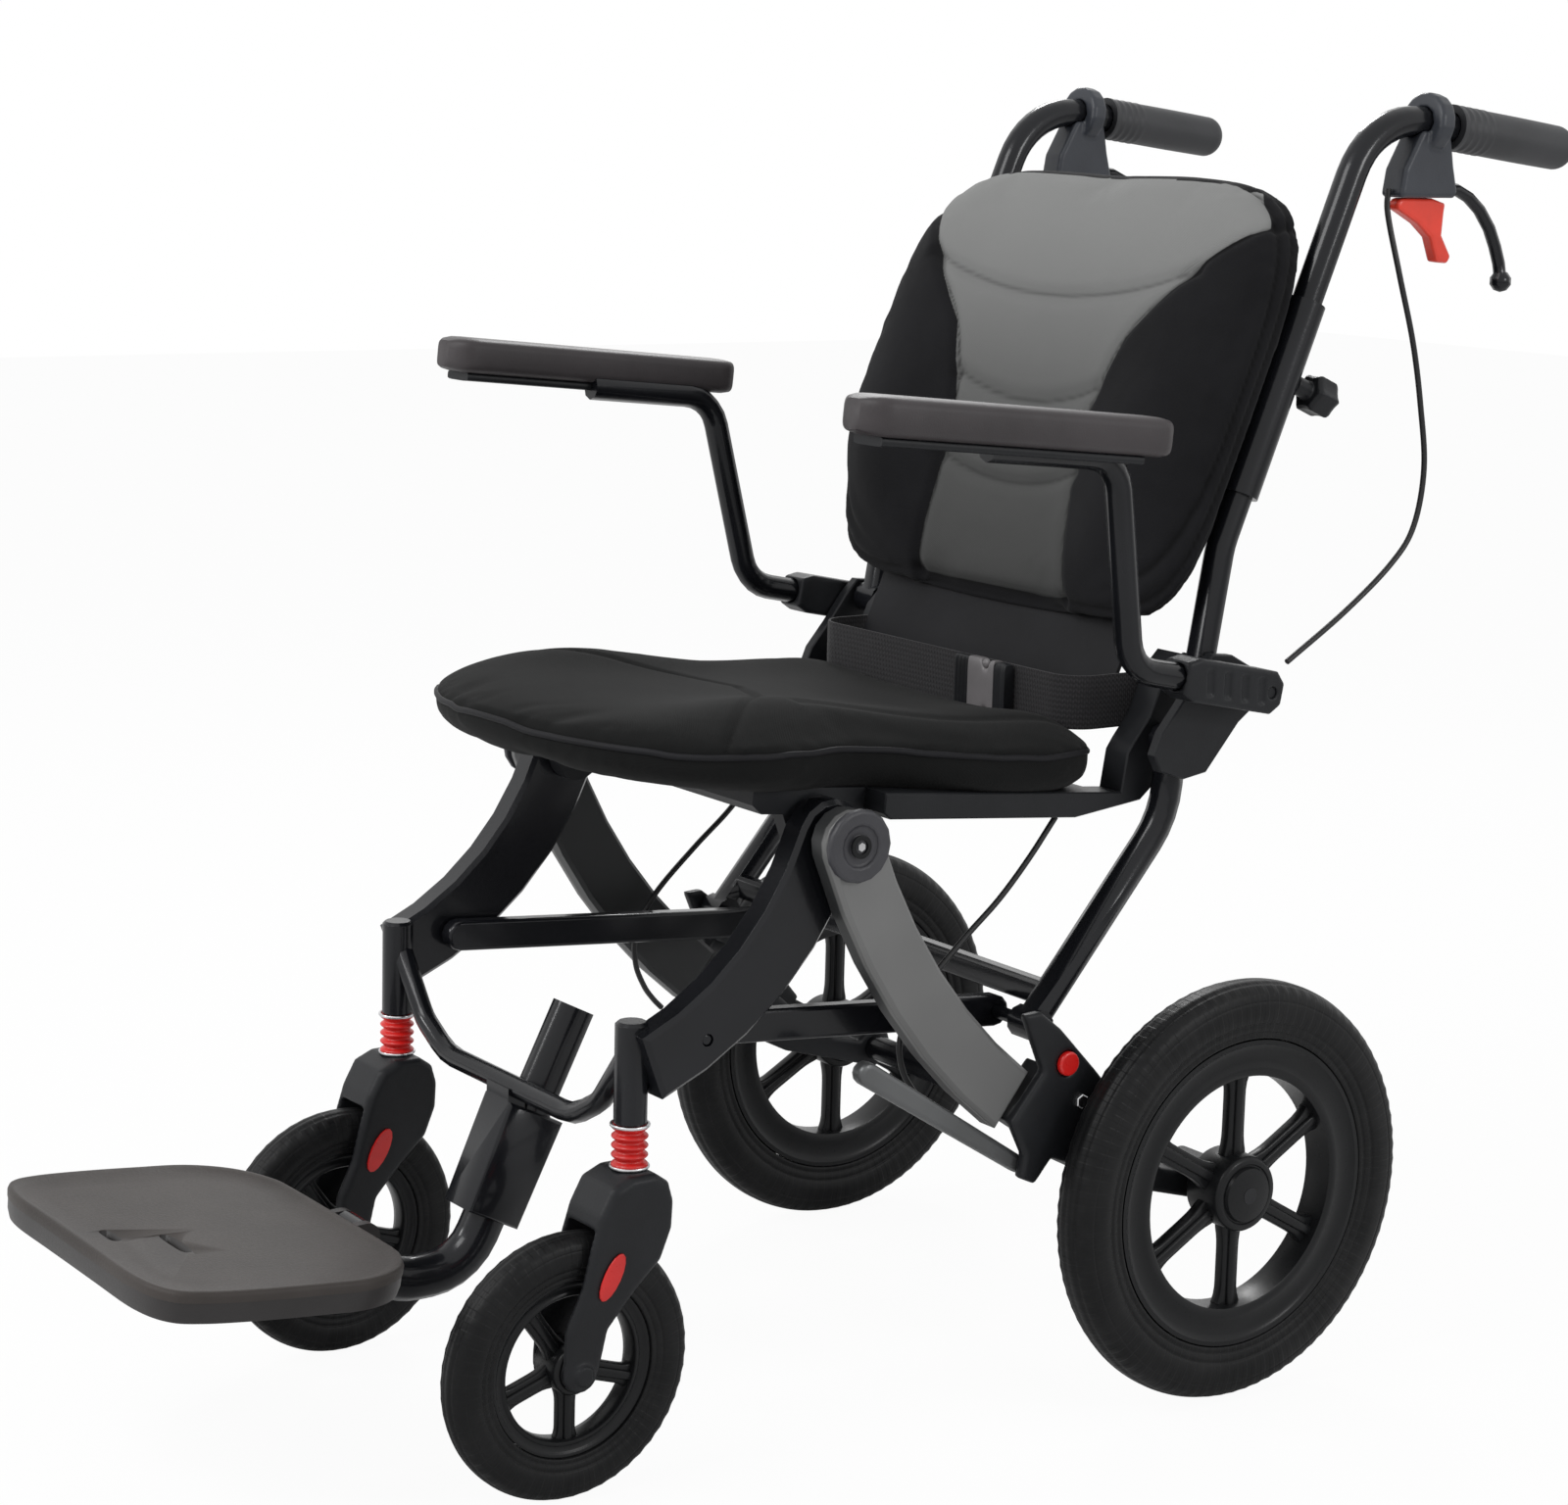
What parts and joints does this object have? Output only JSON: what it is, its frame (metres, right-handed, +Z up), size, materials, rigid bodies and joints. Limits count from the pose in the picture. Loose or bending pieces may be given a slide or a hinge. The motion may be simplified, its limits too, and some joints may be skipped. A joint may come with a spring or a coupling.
{
  "type": "folding wheelchair",
  "caption": "Lightweight folding travel wheelchair with flip-up armrests, folding back and footplate, swivelling front casters and spoked rear wheels.",
  "frame": {"origin": "on the floor, under the middle of the chair's outer box", "axes": "+Z up, the chair faces -Y, +X is the sitter's left"},
  "size_m": [0.556, 1.0876, 0.9107],
  "materials": {
    "frame_black": "gloss black paint",
    "leg_grey": "satin metallic grey paint",
    "plastic_black": "moulded black plastic",
    "plastic_grey": "moulded grey plastic",
    "rim_black": "moulded black plastic rim",
    "tyre_black": "solid rubber tread",
    "grip_rubber": "ribbed soft grip",
    "pad_brown": "moulded foam skin",
    "plate_brown": "grained moulded plastic",
    "signal_red": "red moulded plastic",
    "catch_red": "bright red moulded plastic",
    "fabric_black": "padded woven cover",
    "fabric_grey": "padded woven cover with a grey middle panel",
    "webbing": "woven strap",
    "arm_grey": "cast, satin",
    "cable_black": "smooth cable sleeve"
  },
  "bodies": {
    "rear_frame": {"axle_tube": "frame_black", "rear_leg_left": "leg_grey", "rear_leg_right": "leg_grey", "lock_bracket_left": "plastic_black", "lock_bracket_right": "plastic_black", "pivot_bolt_left": "plastic_black", "pivot_bolt_right": "plastic_black", "lower_cable_left": "cable_black", "lower_cable_right": "cable_black"},
    "front_frame": {"front_leg_left": "frame_black", "front_leg_right": "frame_black", "front_cross_tube": "frame_black"},
    "seat": {"seat_frame": "plastic_black", "seat_cushion": "fabric_black", "lap_belt": "webbing", "belt_buckle": "plastic_grey"},
    "struts": {"strut_frame": "frame_black"},
    "links": {"fold_link_left": "frame_black", "fold_link_right": "frame_black"},
    "back": {"back_frame": "frame_black", "back_cushion": "fabric_grey"},
    "armrest_left": {"arm_bracket_left": "plastic_black", "armrest_tube_left": "frame_black", "armrest_pad_left": "pad_brown"},
    "armrest_right": {"arm_bracket_right": "plastic_black", "armrest_tube_right": "frame_black", "armrest_pad_right": "pad_brown"},
    "foot_tube": {"foot_post": "frame_black"},
    "foot_tray": {"footplate": "plate_brown"},
    "rear_wheel_left": {"rear_tyre_left": "tyre_black", "rear_rim_left": "rim_black"},
    "rear_wheel_right": {"rear_tyre_right": "tyre_black", "rear_rim_right": "rim_black"},
    "caster_left": {"caster_fork_left": "plastic_black", "caster_bushing_left": "signal_red", "fork_reflector_left": "signal_red"},
    "caster_right": {"caster_fork_right": "plastic_black", "caster_bushing_right": "signal_red", "fork_reflector_right": "signal_red"},
    "caster_wheel_left": {"caster_tyre_left": "tyre_black", "caster_rim_left": "rim_black"},
    "caster_wheel_right": {"caster_tyre_right": "tyre_black", "caster_rim_right": "rim_black"},
    "handle_left": {"handle_tube_left": "frame_black", "grip_left": "grip_rubber", "lever_clamp_left": "plastic_black", "brake_cable_left": "cable_black"},
    "handle_right": {"handle_tube_right": "frame_black", "grip_right": "grip_rubber", "lever_clamp_right": "plastic_black", "brake_cable_right": "cable_black"},
    "lever_left": {"brake_lever_left": "frame_black"},
    "lever_right": {"brake_lever_right": "frame_black"},
    "catch_left": {"brake_catch_left": "catch_red"},
    "catch_right": {"brake_catch_right": "catch_red"},
    "knob_left": {"clamp_knob_left": "plastic_black"},
    "knob_right": {"clamp_knob_right": "plastic_black"},
    "button_left": {"release_button_left": "signal_red"},
    "button_right": {"release_button_right": "signal_red"},
    "pale_arm": {"brake_arm": "arm_grey"}
  },
  "joints": [
    {"name": "fold", "type": "hinge", "parent": "rear_frame", "child": "front_frame", "pos_m": [0, -0.08777, 0.42], "axis": [1, 0, 0], "range_deg": [0, 43.5], "deforming": ["lower_cable_left", "lower_cable_right"]},
    {"name": "seat_fold", "type": "hinge", "parent": "rear_frame", "child": "seat", "pos_m": [0, -0.08777, 0.42], "axis": [1, 0, 0], "range_deg": [-11, 0], "deforming": ["lower_cable_left", "lower_cable_right"]},
    {"name": "strut_swing", "type": "hinge", "parent": "seat", "child": "struts", "pos_m": [0, 0.18919, 0.46299], "axis": [1, 0, 0], "range_deg": [0, 39]},
    {"name": "link_swing", "type": "hinge", "parent": "front_frame", "child": "links", "pos_m": [0, -0.18277, 0.297], "axis": [1, 0, 0], "range_deg": [-56, 0]},
    {"name": "back_fold", "type": "hinge", "parent": "seat", "child": "back", "pos_m": [0, 0.2115, 0.51201], "axis": [1, 0, 0], "range_deg": [0, 55], "deforming": ["brake_cable_left", "brake_cable_right"]},
    {"name": "armrest_left_flip", "type": "hinge", "parent": "seat", "child": "armrest_left", "pos_m": [0.2266, 0.2361, 0.5008], "axis": [1, 0, 0], "range_deg": [-85, 0]},
    {"name": "armrest_right_flip", "type": "hinge", "parent": "seat", "child": "armrest_right", "pos_m": [-0.2266, 0.2361, 0.5008], "axis": [1, 0, 0], "range_deg": [-85, 0]},
    {"name": "foot_slide", "type": "slide", "parent": "front_frame", "child": "foot_tube", "axis": [0, 0.4462, 0.8949], "range_m": [-0.05, 0]},
    {"name": "footplate_flip", "type": "hinge", "parent": "foot_tube", "child": "foot_tray", "pos_m": [0, -0.34347, 0.14595], "axis": [1, 0, 0], "range_deg": [-95, 0]},
    {"name": "rear_wheel_left_spin", "type": "hinge", "parent": "rear_frame", "child": "rear_wheel_left", "pos_m": [0.239, 0.21923, 0.15], "axis": [1, 0, 0], "continuous": true},
    {"name": "rear_wheel_right_spin", "type": "hinge", "parent": "rear_frame", "child": "rear_wheel_right", "pos_m": [-0.239, 0.21923, 0.15], "axis": [1, 0, 0], "continuous": true},
    {"name": "caster_left_swivel", "type": "hinge", "parent": "front_frame", "child": "caster_left", "pos_m": [0.156, -0.22677, 0.2135], "axis": [0, 0, 1], "continuous": true},
    {"name": "caster_right_swivel", "type": "hinge", "parent": "front_frame", "child": "caster_right", "pos_m": [-0.156, -0.22677, 0.2135], "axis": [0, 0, 1], "continuous": true},
    {"name": "caster_left_spin", "type": "hinge", "parent": "caster_left", "child": "caster_wheel_left", "pos_m": [0.156, -0.27277, 0.089], "axis": [1, 0, 0], "continuous": true},
    {"name": "caster_right_spin", "type": "hinge", "parent": "caster_right", "child": "caster_wheel_right", "pos_m": [-0.156, -0.27277, 0.089], "axis": [1, 0, 0], "continuous": true},
    {"name": "handle_left_slide", "type": "slide", "parent": "back", "child": "handle_left", "axis": [0, 0.3843, 0.9232], "range_m": [-0.065, 0], "deforming": ["brake_cable_left"]},
    {"name": "handle_right_slide", "type": "slide", "parent": "back", "child": "handle_right", "axis": [0, 0.3843, 0.9232], "range_m": [-0.065, 0], "deforming": ["brake_cable_right"]},
    {"name": "lever_left_squeeze", "type": "hinge", "parent": "handle_left", "child": "lever_left", "pos_m": [0.19, 0.42022, 0.84337], "axis": [1, 0, 0], "range_deg": [0, 20], "stiffness_Nm_per_rad": 1, "springref_deg": -11.46},
    {"name": "lever_right_squeeze", "type": "hinge", "parent": "handle_right", "child": "lever_right", "pos_m": [-0.19, 0.42022, 0.84337], "axis": [1, 0, 0], "range_deg": [0, 20], "stiffness_Nm_per_rad": 1, "springref_deg": -11.46},
    {"name": "catch_left_turn", "type": "hinge", "parent": "handle_left", "child": "catch_left", "pos_m": [0.19, 0.37922, 0.83137], "axis": [1, 0, 0], "range_deg": [-20, 0]},
    {"name": "catch_right_turn", "type": "hinge", "parent": "handle_right", "child": "catch_right", "pos_m": [-0.19, 0.37922, 0.83137], "axis": [1, 0, 0], "range_deg": [-20, 0]},
    {"name": "knob_left_turn", "type": "hinge", "parent": "back", "child": "knob_left", "pos_m": [0.19, 0.27438, 0.71331], "axis": [0, 0.9232, -0.3843], "continuous": true},
    {"name": "knob_right_turn", "type": "hinge", "parent": "back", "child": "knob_right", "pos_m": [-0.19, 0.27438, 0.71331], "axis": [0, 0.9232, -0.3843], "continuous": true},
    {"name": "button_left_press", "type": "slide", "parent": "rear_frame", "child": "button_left", "axis": [-1, 0, 0], "range_m": [0, 0.0028], "stiffness_N_per_m": 300, "springref_m": -0.003},
    {"name": "button_right_press", "type": "slide", "parent": "rear_frame", "child": "button_right", "axis": [1, 0, 0], "range_m": [0, 0.0028], "stiffness_N_per_m": 300, "springref_m": -0.003},
    {"name": "brake_arm_swing", "type": "hinge", "parent": "rear_frame", "child": "pale_arm", "pos_m": [0.197, 0.05923, 0.182], "axis": [1, 0, 0], "range_deg": [-4, 0]}
  ],
  "couplings": [
    {"joint": "seat_fold", "follows": "fold", "ratio": -0.25},
    {"joint": "strut_swing", "follows": "fold", "ratio": 0.877},
    {"joint": "link_swing", "follows": "fold", "ratio": -1.272},
    {"joint": "brake_arm_swing", "follows": "lever_left_squeeze", "ratio": -0.14}
  ]
}
